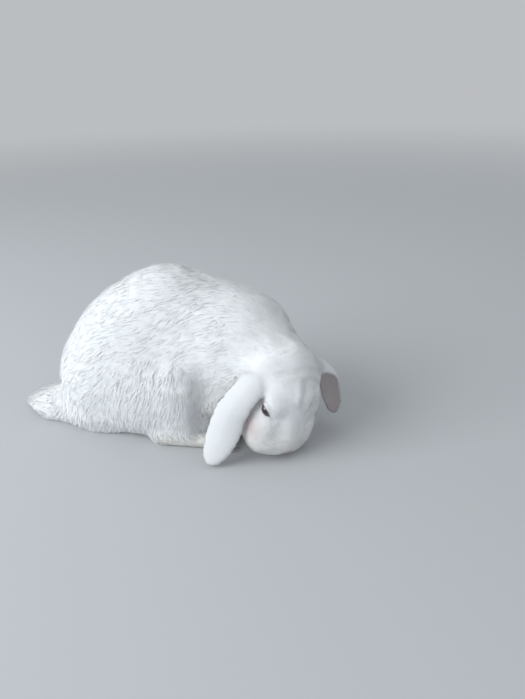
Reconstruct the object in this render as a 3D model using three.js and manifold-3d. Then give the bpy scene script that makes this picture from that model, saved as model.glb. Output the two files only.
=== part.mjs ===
// A dwarf lop rabbit crouching with its rump on the floor and its head lowered to sniff beside its right
// forepaw. Millimetres, +Z up. +X is the way the trunk faces and +Y is the animal's left.
// The outer surface is the surface of the coat. The whole body is one smooth blend of round forms. It is
// parted with thin cuts where one form meets the next, so that each named part is a closed solid.
import * as THREE from "three";
import { mergeVertices } from "three/addons/utils/BufferGeometryUtils.js";
import Module from "manifold-3d";

const wasm = await Module();
wasm.setup();

// Driving dimensions.
const CUT = 0.4; // width of the cuts between neighbouring parts
const BACK_HEIGHT = 183; // top of the arched loin above the floor
const HIP_WIDTH = 136; // across both thighs
const HEAD_LENGTH = 104; // nose to the back of the crown
const HEAD_WIDTH = 77; // across the cheeks
const HEAD_TURN = -41; // degrees that the head is turned, to the animal's right
const HEAD_PITCH = 66; // degrees that the nose then points below the horizontal
const HEAD_SWING = -16; // degrees that the nose then swings, towards the right foreleg
const EAR_WIDTH = 39;
const EAR_THICKNESS = 4.2;
const EYE_RADIUS = 7.5;
const HIND_FOOT_LENGTH = 88; // heel to the tips of the toes
const TAIL_LENGTH = 60;
const CLAW_LENGTH = 10;
const CLAW_RADIUS = 1.5;
const SIDES = { left: 1, right: -1 };

// Grid steps that the surface of each kind of part is drawn with.
const STEP = { trunk: 19, thigh: 14.2, neck: 15, tail: 10, leg: 8.5, head: 6.5, foot: 7, cut: 17 };

// Sizes of the fillets inside each kind of part, and between the parts.
const FILLET = { trunk: 24, tail: 14, thigh: 16, foot: 5, foreleg: 6, head: 9 };
const JOIN = { neck: 30, body: 16, thighs: 9, feet: 12 };

const vector = (x, y, z) => new THREE.Vector3(x, y, z);

// ---- Fields: functions of a point, negative inside a form and close to a distance near its surface ----

function ellipsoid(centre, radii, turn = new THREE.Quaternion()) {
  const back = turn.clone().invert();
  return (point) => {
    const p = point.clone().sub(centre).applyQuaternion(back).divide(radii);
    const near = p.length();
    return (near * (near - 1)) / Math.max(p.divide(radii).length(), 1e-9);
  };
}

// A round bar whose radius runs from one end's to the other's.
function bar(from, to, fromRadius, toRadius) {
  const along = to.clone().sub(from);
  return (point) => {
    const p = point.clone().sub(from);
    const share = THREE.MathUtils.clamp(p.dot(along) / along.lengthSq(), 0, 1);
    return p.addScaledVector(along, -share).length() - THREE.MathUtils.lerp(fromRadius, toRadius, share);
  };
}

// Forms joined with fillets of about the given size.
function blend(size, ...fields) {
  return (point) =>
    fields
      .map((field) => field(point))
      .reduce((a, b) => {
        const overlap = Math.max(size - Math.abs(a - b), 0) / size;
        return Math.min(a, b) - (overlap * overlap * size) / 4;
      });
}

// ---- Trunk, neck and tail ----

const halfHips = HIP_WIDTH / 2;
const loinRadius = 88;
const trunkForm = blend(
  FILLET.trunk,
  ellipsoid(vector(-70, 0, 52), vector(60, 57, 62)), // rump
  ellipsoid(vector(-80, 0, 14), vector(60, 48, 24)), // long hair that spreads over the floor
  ellipsoid(vector(-40, 0, 86), vector(64, 60, 70)), // croup
  ellipsoid(vector(6, 0, BACK_HEIGHT - loinRadius), vector(76, 50, loinRadius)), // loin
  ellipsoid(vector(66, -3, 100), vector(54, 48, 62)), // ribs and shoulder blades
  ellipsoid(vector(80, -8, 70), vector(36, 40, 42)), // breast
  ellipsoid(vector(24, 0, 60), vector(64, 47, 54)), // belly
);
const neckForm = bar(vector(98, -12, 108), vector(126, -34, 90), 39, 31);
const tailRoot = vector(-120, 0, 15);
const tailTip = vector(-120 - TAIL_LENGTH, 2, 5);
const tailForm = blend(
  FILLET.tail,
  bar(tailRoot, tailTip, 18, 8),
  ellipsoid(vector(-134, -4, 10), vector(40, 28, 17)), // long hair round its root
);

// ---- Legs ----

// Four toes that fan out a little from a line across the foot.
function toesOf(ball, spacing, length, radius) {
  return [-1.5, -0.5, 0.5, 1.5].map((place) => {
    const root = ball.clone().add(vector(0, place * spacing, 0));
    const tip = root.clone().add(vector(length - Math.abs(place) * 2, place * spacing * 0.3, -1));
    return { tip, form: bar(root, tip, radius, radius * 0.75) };
  });
}

function hindLeg(side) {
  const y = side * (halfHips - 29);
  const heel = vector(0, side * (halfHips - 16), 9.5);
  const ball = heel.clone().add(vector(HIND_FOOT_LENGTH - 24, 0, -1));
  const toes = toesOf(ball.clone().add(vector(-6, 0, -1)), 6, 16, 6);
  return {
    toes,
    upper: blend(
      FILLET.thigh,
      ellipsoid(vector(-12, y, 62), vector(52, 29, 56)),
      bar(vector(23, side * (halfHips - 21), 80), vector(25, side * (halfHips - 20), 32), 21, 18), // knee
      ellipsoid(vector(-38, side * (halfHips - 38), 32), vector(36, 25, 33)), // hock
    ),
    foot: blend(FILLET.foot, bar(heel, ball, 12, 11), ...toes.map((toe) => toe.form)),
  };
}

function foreleg(side) {
  const between = -4; // the breast leans a little to the right
  const elbow = vector(60, between + side * 31, 48);
  const wrist = vector(77, between + side * 22, 16);
  const paw = vector(85, between + side * 21, 6.5);
  const toes = toesOf(paw.clone().add(vector(0, 0, 0.5)), 4.2, 10, 5);
  const bones = [bar(elbow, wrist, 19, 11), bar(wrist, paw, 11, 9)];
  return { toes, form: blend(FILLET.foreleg, ...bones, ...toes.map((toe) => toe.form)) };
}

// ---- Head, in its own frame: x to the nose, y to its left, z to the forehead ----

const headFrame = new THREE.Matrix4()
  .makeTranslation(132.5, -49, 58)
  .multiply(new THREE.Matrix4().makeRotationZ(THREE.MathUtils.degToRad(HEAD_TURN)))
  .multiply(new THREE.Matrix4().makeRotationY(THREE.MathUtils.degToRad(HEAD_PITCH)))
  .multiply(new THREE.Matrix4().makeRotationZ(THREE.MathUtils.degToRad(HEAD_SWING)));
const onHead = (x, y, z) => vector(x, y, z).applyMatrix4(headFrame);
const headInverse = headFrame.clone().invert();
const inHeadFrame = (field) => (point) => field(point.clone().applyMatrix4(headInverse));

const noseX = HEAD_LENGTH / 2;
const cheekY = HEAD_WIDTH / 2;
const eyeCentre = (side) => vector(4, side * (cheekY - 12), 6.5);
const sideOfFace = (side) => [
  ellipsoid(vector(18, side * (cheekY - 15.5), -18), vector(32, 18, 21)), // jowl
  ellipsoid(vector(14, side * (cheekY - 15), -4), vector(20, 11, 12)), // cheek
  ellipsoid(vector(noseX - 16, side * 11, -13), vector(17, 14.5, 14)), // whisker pad
  ellipsoid(vector(-1, side * (cheekY - 18), 14), vector(15, 9, 7)), // brow
  bar(vector(-26, side * 12, 10), vector(-32, side * 24, 12), 15, 11), // root of the ear
];
const headForm = inHeadFrame(
  blend(
    FILLET.head,
    ellipsoid(vector(-18, 0, 6), vector(noseX - 20, cheekY - 7, 28)), // braincase
    ellipsoid(vector(-30, 0, 15), vector(24, 26, 22)), // crown
    bar(vector(0, 0, 3), vector(noseX - 17, 0, -7), 25, 16), // bridge of the nose
    bar(vector(4, 0, -20), vector(noseX - 24, 0, -20), 17, 13), // lower jaw
    ...Object.values(SIDES).flatMap(sideOfFace),
  ),
);

// ---- The whole body, and each form's share of it ----

const limbs = Object.entries(SIDES).map(([name, side]) => ({
  name,
  hind: hindLeg(side),
  fore: foreleg(side),
}));
const legForms = limbs.flatMap(({ name, hind, fore }) => [
  { name: `hind_foot_${name}`, form: hind.foot, step: STEP.foot },
  { name: `foreleg_${name}`, form: fore.form, step: STEP.leg },
  { name: `hind_leg_${name}`, form: hind.upper, step: STEP.thigh },
]);
const forms = [
  { name: "head", form: headForm, step: STEP.head },
  { name: "tail", form: tailForm, step: STEP.tail },
  ...legForms,
  { name: "neck", form: neckForm, step: STEP.neck },
  { name: "trunk", form: trunkForm, step: STEP.trunk },
];
const thighs = limbs.map((limb) => limb.hind.upper);
const feet = limbs.flatMap((limb) => [limb.hind.foot, limb.fore.form]);
const withNeck = blend(JOIN.neck, trunkForm, neckForm);
const withHead = blend(JOIN.body, withNeck, headForm, tailForm);
const withThighs = blend(JOIN.thighs, withHead, ...thighs);
const wholeBody = blend(JOIN.feet, withThighs, ...feet);

// The field's slope at a point, by small differences.
function slope(field, point) {
  const h = 0.05;
  return vector(
    ...[vector(h, 0, 0), vector(0, h, 0), vector(0, 0, h)].map(
      (d) => (field(point.clone().add(d)) - field(point.clone().sub(d))) / (2 * h),
    ),
  );
}

// Negative where the form is nearer than the others, and close to the distance from where they are equally
// near.
function shareOf(own, others) {
  const lead = (point) => own(point) - Math.min(...others.map((form) => form(point)));
  return (point) => lead(point) / Math.max(slope(lead, point).length(), 0.4);
}

// ---- Surfaces and solids ----

// A grid face whose inside corners lie on one diagonal would pinch the surface, so that its nearer outside
// corner is taken inside, until there is no such face.
function fillPinches(value, cells, index, step) {
  const faces = cells.flatMap(([i, j, k]) => [
    [index(i, j, k), index(i + 1, j, k), index(i, j + 1, k), index(i + 1, j + 1, k)],
    [index(i, j, k), index(i, j + 1, k), index(i, j, k + 1), index(i, j + 1, k + 1)],
    [index(i, j, k), index(i + 1, j, k), index(i, j, k + 1), index(i + 1, j, k + 1)],
  ]);
  const pinched = ([a, b, c, d]) => {
    const inside = [a, b, c, d].map((at) => value[at] < 0);
    return inside[0] === inside[3] && inside[1] === inside[2] && inside[0] !== inside[1];
  };
  for (let left = faces.filter(pinched); left.length; left = faces.filter(pinched))
    for (const face of left.filter(pinched)) {
      const outside = face.filter((at) => value[at] >= 0).sort((a, b) => value[a] - value[b]);
      value[outside[0]] = -0.01 * step;
    }
}

// The surface where the field equals level, inside the box: one vertex in each grid cell that it crosses,
// settled onto it, and one quad round each grid edge that it crosses.
function surfaceOf(field, box, step, level = 0) {
  const n = box.getSize(vector()).divideScalar(step).ceil().addScalar(1);
  const index = (i, j, k) => i + n.x * (j + n.y * k);
  const place = (i, j, k) => vector(i, j, k).multiplyScalar(step).add(box.min);
  const value = new Float32Array(n.x * n.y * n.z);
  const cells = [];
  for (let k = 0; k < n.z; k++)
    for (let j = 0; j < n.y; j++)
      for (let i = 0; i < n.x; i++) {
        const rim = i === 0 || j === 0 || k === 0 || i === n.x - 1 || j === n.y - 1 || k === n.z - 1;
        value[index(i, j, k)] = rim ? step : field(place(i, j, k)) - level;
        if (i < n.x - 1 && j < n.y - 1 && k < n.z - 1) cells.push([i, j, k]);
      }

  fillPinches(value, cells, index, step);

  const corners = Array.from({ length: 8 }, (_, c) => [c & 1, (c >> 1) & 1, (c >> 2) & 1]);
  const edges = corners.flatMap((_, c) => [1, 2, 4].filter((bit) => !(c & bit)).map((bit) => [c, c | bit]));
  const vertexOf = new Map();
  const positions = [];
  for (const [i, j, k] of cells) {
    const ends = corners.map(([a, b, c]) => [i + a, j + b, k + c]);
    const values = ends.map((e) => value[index(...e)]);
    const crossed = edges.filter(([a, b]) => values[a] < 0 !== values[b] < 0);
    if (!crossed.length) continue;
    const p = vector();
    for (const [a, b] of crossed)
      p.add(place(...ends[a]).lerp(place(...ends[b]), values[a] / (values[a] - values[b])));
    p.divideScalar(crossed.length);
    const onRim = [i, j, k].some((x, axis) => x === 0 || x === n.getComponent(axis) - 2);
    for (let round = 0; round < 3 && !onRim; round++) {
      const up = slope(field, p);
      const lift = (level - field(p)) / Math.max(up.lengthSq(), 0.1);
      p.addScaledVector(up, THREE.MathUtils.clamp(lift, -step / 4, step / 4));
    }
    vertexOf.set(index(i, j, k), positions.length / 3);
    positions.push(p.x, p.y, p.z);
  }

  const triangles = [];
  const axes = [vector(1, 0, 0), vector(0, 1, 0), vector(0, 0, 1)];
  for (const [i, j, k] of cells)
    axes.forEach((axis, a) => {
      const u = axes[(a + 1) % 3];
      const v = axes[(a + 2) % 3];
      const here = vector(i, j, k);
      if (here.dot(u) === 0 || here.dot(v) === 0) return;
      const from = value[index(i, j, k)];
      const to = value[index(...here.clone().add(axis).toArray())];
      if (from < 0 === to < 0) return;
      const ring = [vector(), u, u.clone().add(v), v].map((d) =>
        vertexOf.get(index(...here.clone().sub(d).toArray())),
      );
      if (from >= 0) ring.reverse();
      const corner = (c) => vector().fromArray(positions, 3 * ring[c % 4]);
      const turn = corner(0).distanceTo(corner(2)) > corner(1).distanceTo(corner(3)) ? 1 : 0;
      for (const c of [turn, turn + 2]) triangles.push(ring[c], ring[(c + 1) % 4], ring[(c + 2) % 4]);
    });
  return new THREE.BufferGeometry()
    .setAttribute("position", new THREE.Float32BufferAttribute(positions, 3))
    .setIndex(triangles);
}

// The same surface a little farther in, with each vertex moved against the field's slope.
function inset(geometry, field, depth) {
  const inner = geometry.clone();
  const position = inner.attributes.position;
  for (let i = 0; i < position.count; i++) {
    const p = vector().fromBufferAttribute(position, i);
    p.addScaledVector(slope(field, p).normalize(), -depth);
    position.setXYZ(i, p.x, p.y, p.z);
  }
  return inner;
}

function solidOf(geometry) {
  const bare = geometry.clone();
  for (const name of ["normal", "uv"]) bare.deleteAttribute(name);
  const merged = mergeVertices(bare, 1e-4);
  return new wasm.Manifold(
    new wasm.Mesh({
      numProp: 3,
      vertProperties: new Float32Array(merged.attributes.position.array),
      triVerts: new Uint32Array(merged.index.array),
    }),
  );
}

function geometryOf(solid) {
  const { vertProperties, triVerts } = solid.getMesh();
  return new THREE.BufferGeometry()
    .setAttribute("position", new THREE.BufferAttribute(vertProperties, 3))
    .setIndex(new THREE.BufferAttribute(triVerts, 1));
}

// The solid's largest body, with corners that cutting left closer together than a sliver's width made one.
const SLIVER = 0.05;
function cleaned(solid) {
  const welded = mergeVertices(geometryOf(solid), SLIVER);
  const corners = Array.from(welded.index.array);
  const triangles = Array.from({ length: corners.length / 3 }, (_, i) => corners.slice(3 * i, 3 * i + 3));
  welded.setIndex(triangles.filter((t) => new Set(t).size === 3).flat());
  return largest(solidOf(welded));
}

const largest = (solid) => solid.decompose().sort((a, b) => b.volume() - a.volume())[0];

// The box that holds where the field is below level, looked for on a coarse grid.
const WORLD = new THREE.Box3(vector(-230, -130, -40), vector(230, 130, 230));
function reachOf(field, margin) {
  const box = new THREE.Box3();
  const pace = 6;
  for (let x = WORLD.min.x; x < WORLD.max.x; x += pace)
    for (let y = WORLD.min.y; y < WORLD.max.y; y += pace)
      for (let z = WORLD.min.z; z < WORLD.max.z; z += pace)
        if (field(vector(x, y, z)) < margin) box.expandByPoint(vector(x, y, z));
  return box.expandByScalar(margin);
}

const slab = 60;
const underFloor = solidOf(new THREE.BoxGeometry(600, 600, slab).translate(0, 0, -slab / 2));

// Each form's share of the body, cut off flat at the floor. The forms after it are cut back to the share's
// edge, and it keeps a cut's width inside that.
const solids = {};
const bodyNear = {}; // the whole body's surface near each form
let taken = underFloor;
forms.forEach(({ name, form, step }, i) => {
  const box = reachOf(form, 3 * step);
  bodyNear[name] = surfaceOf(wholeBody, box, step);
  let solid = solidOf(bodyNear[name]).subtract(taken);
  const rest = forms.slice(i + 1).map((f) => f.form);
  if (rest.length) {
    const share = shareOf(form, rest);
    const roomy = box.clone().expandByScalar(2 * STEP.cut);
    const edge = surfaceOf(share, roomy, STEP.cut);
    solid = solid.intersect(solidOf(inset(edge, share, CUT)));
    taken = taken.add(solidOf(edge));
  }
  solids[name] = largest(solid);
});

// ---- Eyes ----

for (const [name, side] of Object.entries(SIDES)) {
  const centre = onHead(...eyeCentre(side).toArray());
  const ball = (radius) => solidOf(new THREE.SphereGeometry(radius, 12, 8).translate(...centre.toArray()));
  solids[`eye_${name}`] = ball(EYE_RADIUS);
  solids.head = solids.head.subtract(ball(EYE_RADIUS + CUT));
}

// ---- Ears and claws: a ball drawn out along a line, with a cross-section at each share of the way ----

function drawnOut(line, around, rings, sectionAt, acrossAt) {
  const path = new THREE.CatmullRomCurve3(line);
  const geometry = new THREE.SphereGeometry(1, around, rings);
  const position = geometry.attributes.position;
  for (let i = 0; i < position.count; i++) {
    const unit = vector().fromBufferAttribute(position, i);
    const share = (1 + unit.y) / 2;
    const closed = Math.min(1, 6 * Math.hypot(unit.x, unit.z)); // nothing at the two ends
    const along = path.getTangentAt(share);
    const width = acrossAt(share);
    width.addScaledVector(along, -width.dot(along)).normalize();
    const [x, y] = sectionAt(share, closed, Math.atan2(-unit.z, unit.x));
    const p = path.getPointAt(share).addScaledVector(width, x);
    p.addScaledVector(along.cross(width), y);
    position.setXYZ(i, p.x, p.y, p.z);
  }
  return geometry;
}

const { lerp } = THREE.MathUtils;
const SPOON = 0.66; // share of an ear's length at which it is widest
const UNFOLDED = 0.4; // share at which it has turned from its root to hang flat

// An ear is thickest at its root and cupped towards the cheek.
function earSection(share, closed, angle) {
  const spoon = Math.sqrt(1 - Math.max(0, (share - SPOON) / (1 - SPOON)) ** 2);
  const halfWidth = (EAR_WIDTH / 2) * closed * spoon * lerp(0.7, 1, Math.min(1, share / SPOON));
  const halfThickness = (EAR_THICKNESS / 2) * closed * Math.sqrt(spoon) * lerp(1.8, 0.9, share);
  const x = halfWidth * Math.cos(angle);
  const cup = (lerp(1, 0.4, share) * x * x) / EAR_WIDTH;
  return [x, halfThickness * Math.sin(angle) - cup];
}

// An ear leaves its root on the head, turns over the cheek and hangs. Its width runs towards the nose at its
// root and in a direction of its own below.
const towardsNose = onHead(1, 0, 0).sub(onHead(0, 0, 0));
const ears = {
  right: {
    root: [onHead(-26, -10, 8), onHead(-31, -30, 13)],
    hanging: [vector(87, -78.5, 70), vector(72, -85, 34), vector(57, -91, 3)],
    across: [towardsNose, vector(0.95, -0.1, 0.2)],
  },
  left: {
    root: [onHead(-30, 10, 11), onHead(-39, 27, 14)],
    hanging: [vector(172.5, 1, 72), vector(177.5, 5, 42), vector(175, 7, 12)],
    across: [towardsNose.clone().negate(), vector(-0.7, 0.7, 0)],
  },
};

// What the body takes up near a form, with a cut's width round it, to take away from what meets it there.
const roomFor = (name) => solidOf(inset(bodyNear[name], wholeBody, -CUT)).add(underFloor);

const headRoom = roomFor("head").add(roomFor("neck"));
for (const [name, { root, hanging, across }] of Object.entries(ears)) {
  const acrossAt = (share) => across[0].clone().lerp(across[1], Math.min(1, share / UNFOLDED));
  const ear = solidOf(drawnOut([...root, ...hanging], 12, 15, earSection, acrossAt));
  solids[`ear_${name}`] = largest(ear.subtract(headRoom));
}

function clawSection(share, closed, angle) {
  const radius = CLAW_RADIUS * closed * lerp(1, 0.25, share);
  return [radius * Math.cos(angle), radius * Math.sin(angle)];
}

// Claws leave the toes near the floor and curve down to it.
for (const { name, hind, fore } of limbs) {
  const room = roomFor(`hind_foot_${name}`).add(roomFor(`foreleg_${name}`));
  for (const [foot, { toes }] of [["hind", hind], ["fore", fore]])
    toes.forEach(({ tip }, i) => {
      const line = [vector(0, 0, -1), vector(0.6 * CLAW_LENGTH, 0, -2.5), vector(CLAW_LENGTH, 0, -5.5)];
      const places = line.map((p) => p.add(tip).setZ(Math.max(p.z, 1.2)));
      const claw = solidOf(drawnOut(places, 5, 4, clawSection, () => vector(0, 1, 0)));
      solids[`claw_${foot}_${name}_${i + 1}`] = largest(claw.subtract(room));
    });
}

// ---- Meshes ----

const coat = new THREE.MeshStandardMaterial({ color: 0xe9edf0, roughness: 0.9 });
const bareEar = new THREE.MeshStandardMaterial({ color: 0xe8e2e4, roughness: 0.8 });
const eyeball = new THREE.MeshStandardMaterial({ color: 0x2c333f, roughness: 0.05 });
const horn = new THREE.MeshStandardMaterial({ color: 0xcfc4b8, roughness: 0.4 });
const materials = { eye: eyeball, ear: bareEar, claw: horn };

const rabbit = new THREE.Group();
for (const [name, solid] of Object.entries(solids)) {
  const geometry = geometryOf(cleaned(solid));
  geometry.computeVertexNormals();
  const mesh = new THREE.Mesh(geometry, materials[name.split("_")[0]] ?? coat);
  mesh.name = name;
  rabbit.add(mesh);
}

// The origin is on the floor, in the middle of the box round the animal.
const extent = new THREE.Box3().setFromObject(rabbit);
const middle = extent.getCenter(vector());
rabbit.position.set(-middle.x, -middle.y, -extent.min.z);

export default rabbit;
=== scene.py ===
"""A white dwarf lop rabbit, crouched with its head lowered to sniff the floor.

Metres, +Z up. +X is the way the trunk faces and +Y is the animal's left. The solids reach to the tips of the
coat. One skin is drawn in under them by the coat's depth, and tufts of fur fill that depth again.
"""

import math

import bmesh
import bpy
import numpy as np
from mathutils import Matrix, Vector
from mathutils.bvhtree import BVHTree
from mathutils.kdtree import KDTree


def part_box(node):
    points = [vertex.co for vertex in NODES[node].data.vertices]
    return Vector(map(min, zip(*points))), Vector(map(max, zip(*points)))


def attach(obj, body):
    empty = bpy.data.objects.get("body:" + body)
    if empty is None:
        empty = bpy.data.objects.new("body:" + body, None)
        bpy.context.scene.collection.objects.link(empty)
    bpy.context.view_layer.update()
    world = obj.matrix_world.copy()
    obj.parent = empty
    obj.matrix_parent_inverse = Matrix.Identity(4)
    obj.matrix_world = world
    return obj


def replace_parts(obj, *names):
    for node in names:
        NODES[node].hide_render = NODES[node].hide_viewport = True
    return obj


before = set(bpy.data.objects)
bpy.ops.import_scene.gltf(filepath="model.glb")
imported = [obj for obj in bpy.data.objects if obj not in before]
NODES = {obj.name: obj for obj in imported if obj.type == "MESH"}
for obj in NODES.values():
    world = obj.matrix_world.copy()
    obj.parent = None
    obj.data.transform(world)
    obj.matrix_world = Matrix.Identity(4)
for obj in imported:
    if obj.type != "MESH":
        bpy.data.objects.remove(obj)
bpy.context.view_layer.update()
MM = 0.001
rng = np.random.default_rng(11)


def added(name, data):
    """A new object in the scene."""
    piece = bpy.data.objects.new(name, data)
    bpy.context.scene.collection.objects.link(piece)
    return piece


def unit(vectors):
    return vectors / np.maximum(np.linalg.norm(vectors, axis=-1, keepdims=True), 1e-12)


def rise(values, low, high):
    """Smoothly from 0 at low to 1 at high."""
    share = np.clip((values - low) / (high - low), 0, 1)
    return share * share * (3 - 2 * share)


def bell(values):
    """Smoothly from 1 at 0 to nearly 0 at 2, on both sides."""
    return np.exp(-(values**2))


def at_least(low, share):
    """From low at a share of 0 to 1 at a share of 1."""
    return low + (1 - low) * share


# ---- Camera ----

CAMERA_PLACE = (0.1926, -0.5079, 0.360)
CAMERA_HEADING = 10  # degrees to the left of +Y
CAMERA_TILT = 27.09  # degrees below the horizon
CAMERA_ROLL = -1.9
CAMERA_LENS = 28.6  # mm
CAMERA_FRAME = 36  # mm, its long side


def make_camera():
    camera = added("camera", bpy.data.cameras.new("camera"))
    camera.data.lens = CAMERA_LENS
    camera.data.sensor_width = CAMERA_FRAME
    turns = (("Z", CAMERA_HEADING), ("X", 90 - CAMERA_TILT), ("Z", CAMERA_ROLL))
    place = Matrix.Translation(CAMERA_PLACE)
    for axis, degrees in turns:
        place = place @ Matrix.Rotation(math.radians(degrees), 4, axis)
    camera.matrix_world = place
    bpy.context.scene.camera = camera


# ---- Head frame: x to the nose, y to its left, z to the forehead, in millimetres ----

HEAD_TURN = -41  # degrees, to the animal's right
HEAD_PITCH = 66  # degrees that the nose points below the horizontal
HEAD_SWING = -16  # degrees about the head's own upright line
EYE_IN_HEAD = np.array([4.0, 26.5, 6.5])  # the left one
SIDES = {"left": 1, "right": -1}


def turned(axis, degrees):
    return np.array(Matrix.Rotation(math.radians(degrees), 3, axis))


HEAD_AXES = turned("Z", HEAD_TURN) @ turned("Y", HEAD_PITCH) @ turned("Z", HEAD_SWING)


def sided(point, side):
    """A place or a way on the head's left side, for the side that is given: 1 left, -1 right, 0 between."""
    return np.array(point) * (1, side, 1)


def middle_of(node):
    low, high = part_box(node)
    return np.array((low + high) / 2)


EYES_MIDDLE = (middle_of("eye_left") + middle_of("eye_right")) / 2
HEAD_ORIGIN = EYES_MIDDLE - HEAD_AXES @ sided(EYE_IN_HEAD, 0) * MM


def in_head(points):
    """Points of the part's frame, in millimetres of the head frame."""
    return (points - HEAD_ORIGIN) @ HEAD_AXES / MM


def on_head(points):
    """Points in millimetres of the head frame, in the part's frame."""
    return np.asarray(points) * MM @ HEAD_AXES.T + HEAD_ORIGIN


# ---- The features of the face, in millimetres of the head frame ----

BALL = 7.5  # radius of an eye
GAZE = (0.40, 1, 0.32)  # the left eye's, out of the head
SLIT = (1, 0, 0.3)  # the way that the slit between the lids runs, to the nose
OPENING = 8.0  # half the slit's length
UPPER_LID = 2.9  # height of the slit over its middle line
LOWER_LID = 1.8
LID_THICKNESS = 0.6
LID_EDGE = 0.25  # half the width of a lid's edge, and its height over the ball
LID_SWELL = (0.12, 4)  # how much a lid thickens on each millimetre from the slit, and up to how many
LID_CREASE = (0.3, 2.4, 0.7)  # its depth, its distance from the slit and its width
LID_TO_FACE = (0.6, 6.5)  # distances from the slit between which a lid passes into the face
LIDS_REACH = 2.2 * BALL  # from the ball's middle, within which the lids shape the face
BALL_CLEARANCE = 0.45  # of the skin over the ball
SLIT_DEPTH = 1.4  # of the skin under the ball, inside the slit
NOSE = (50, 0, -8)

# Round forms under the skin, on both sides: the height and width of each, and the middle of the left one.
PADS = ((1.3, 7, (43, 9, -14)), (0.7, 4, (50, 2.4, -6.5)))  # of the whiskers, of the bare nose

NOSTRIL = ((0.9, -9.4), (2.6, -7.6), (4.3, -5.4))  # left one, across and up, seen from the front
CLEFT = ((0, -9.6), (0, -21))  # in the upper lip
FACE_FRONT = 36  # how far forward the nostrils and the cleft end at least
MOUTH = ((47, 0, -21.5), (43, 4, -24.5), (37, 9, -25), (30, 14, -23))  # left corner last
DENTS = ((1.7, 0.75), (1.5, 0.9), (1.9, 1.0))  # depth and width of the nostrils, the cleft and the mouth
CLEFT_BEGINS = (8, 11)  # down from the eyes' height, between which the cleft grows to its depth

# Where the face's hair starts and where its coat is full: the distances from the nose, and from the slit
# between the lids over the eye and under it.
HAIR_FROM_NOSE = (4, 24)
HAIR_OVER_EYE = (0, 5)
HAIR_UNDER_EYE = (0.8, 13)
LEAST_AT_NOSE = 0.12  # share of the coat that is there where it starts
LEAST_AT_EYE = 0.14
BARE_LID = 0.4  # width of a lid's bare rim
BARE_LINES = (0.8, 0.5, 0.9)  # how far the skin is bare round the nostrils, the cleft and the mouth

# Where the hair of the forehead is pushed into folds: the height and width of each, and its line.
FOLDS = (
    (-1.0, 2.6, ((-23, -25, 28), (-25, -10, 36), (-23, 6, 36), (-18, 18, 30))),
    (1.3, 2.8, ((-17, -9, 35), (-8, -8, 33), (3, -7, 29))),
    (1.3, 2.6, ((-10, 8, 33), (2, 5, 29), (13, 4, 25))),
    (-0.9, 2.2, ((-15, -1, 36), (-5, -1, 33), (7, -2, 28))),
)


def eye_axes(side):
    """Columns out of the eye, towards the nose and up."""
    out = unit(sided(GAZE, side))
    up = unit(np.cross(SLIT, out) * side)
    return np.stack([out, np.cross(out, up) * side, up], axis=1)


def round_eye(points, side):
    """For points of the head frame: the distance from the eye's middle, how far outside the slit between the
    lids they lie, measured along the ball, and how far above its middle line."""
    from_middle = points - sided(EYE_IN_HEAD, side)
    distance = np.linalg.norm(from_middle, axis=1)
    out, ahead, up = (from_middle @ eye_axes(side)).T
    ahead = BALL * np.arctan2(ahead, out)
    up = BALL * np.arctan2(up, out)
    height = np.where(up > 0, UPPER_LID, LOWER_LID) * np.sqrt(np.clip(1 - (ahead / OPENING) ** 2, 0, 1))
    within = (np.abs(ahead) < OPENING) & (np.abs(up) < height)
    outside = np.hypot(np.clip(np.abs(ahead) - OPENING, 0, None), np.abs(up) - height)
    return distance, np.where(within, -outside, outside), up


def from_line(points, line):
    """How far each point lies from a bent line."""
    corners = np.array(line, float)
    nearest = np.full(len(points), np.inf)
    for start, run in zip(corners[:-1], np.diff(corners, axis=0)):
        share = np.clip((points - start) @ run / (run @ run), 0, 1)[:, None]
        nearest = np.minimum(nearest, np.linalg.norm(points - start - share * run, axis=1))
    return nearest


def mirrored(points):
    """The points with both sides of the face laid over the left one."""
    return points * (1, 0, 1) + np.abs(points) * (0, 1, 0)


def face_lines(points):
    """How far points of the head frame lie from the nostrils, the cleft of the lip and the mouth."""
    half = mirrored(points)
    behind = np.clip(FACE_FRONT - half[:, 0], 0, None)
    nostril = from_line(half[:, 1:], NOSTRIL) + behind
    cleft = from_line(half[:, 1:], CLEFT) + behind
    return nostril, cleft, from_line(half, MOUTH)


def coat_left(points):
    """How much of its coat the face keeps at each point of the head frame: 0 where the skin is bare."""
    left = at_least(LEAST_AT_NOSE, rise(np.linalg.norm(points - NOSE, axis=1), *HAIR_FROM_NOSE))
    for side in SIDES.values():
        distance, outside, above = round_eye(points, side)
        grown = np.where(above > 0, rise(outside, *HAIR_OVER_EYE), rise(outside, *HAIR_UNDER_EYE))
        left = np.minimum(left, at_least(LEAST_AT_EYE, grown))
        left[(outside < BARE_LID) & (distance < 2 * BALL)] = 0
    for distance, bare in zip(face_lines(points), BARE_LINES):
        left[distance < bare] = 0
    return left


# ---- The skin's surface: one closed mesh, with numbers on its vertices ----

VOXEL = 1.85 * MM
SWELL = 0.3 * MM  # closes the cuts between the parts
EAR_HOLLOW = 1.6 * MM  # off an ear's inner side, so that it hangs free of the cheek
EAR_RIM = 0.7 * MM  # onto both sides of its rim, which is too thin to be kept otherwise
EAR_THICKNESS = 4.2 * MM  # of an ear's middle, away from its rim
EAR_ROOT = (12 * MM, 28 * MM)  # down from its top, between which the hollow begins


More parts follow.
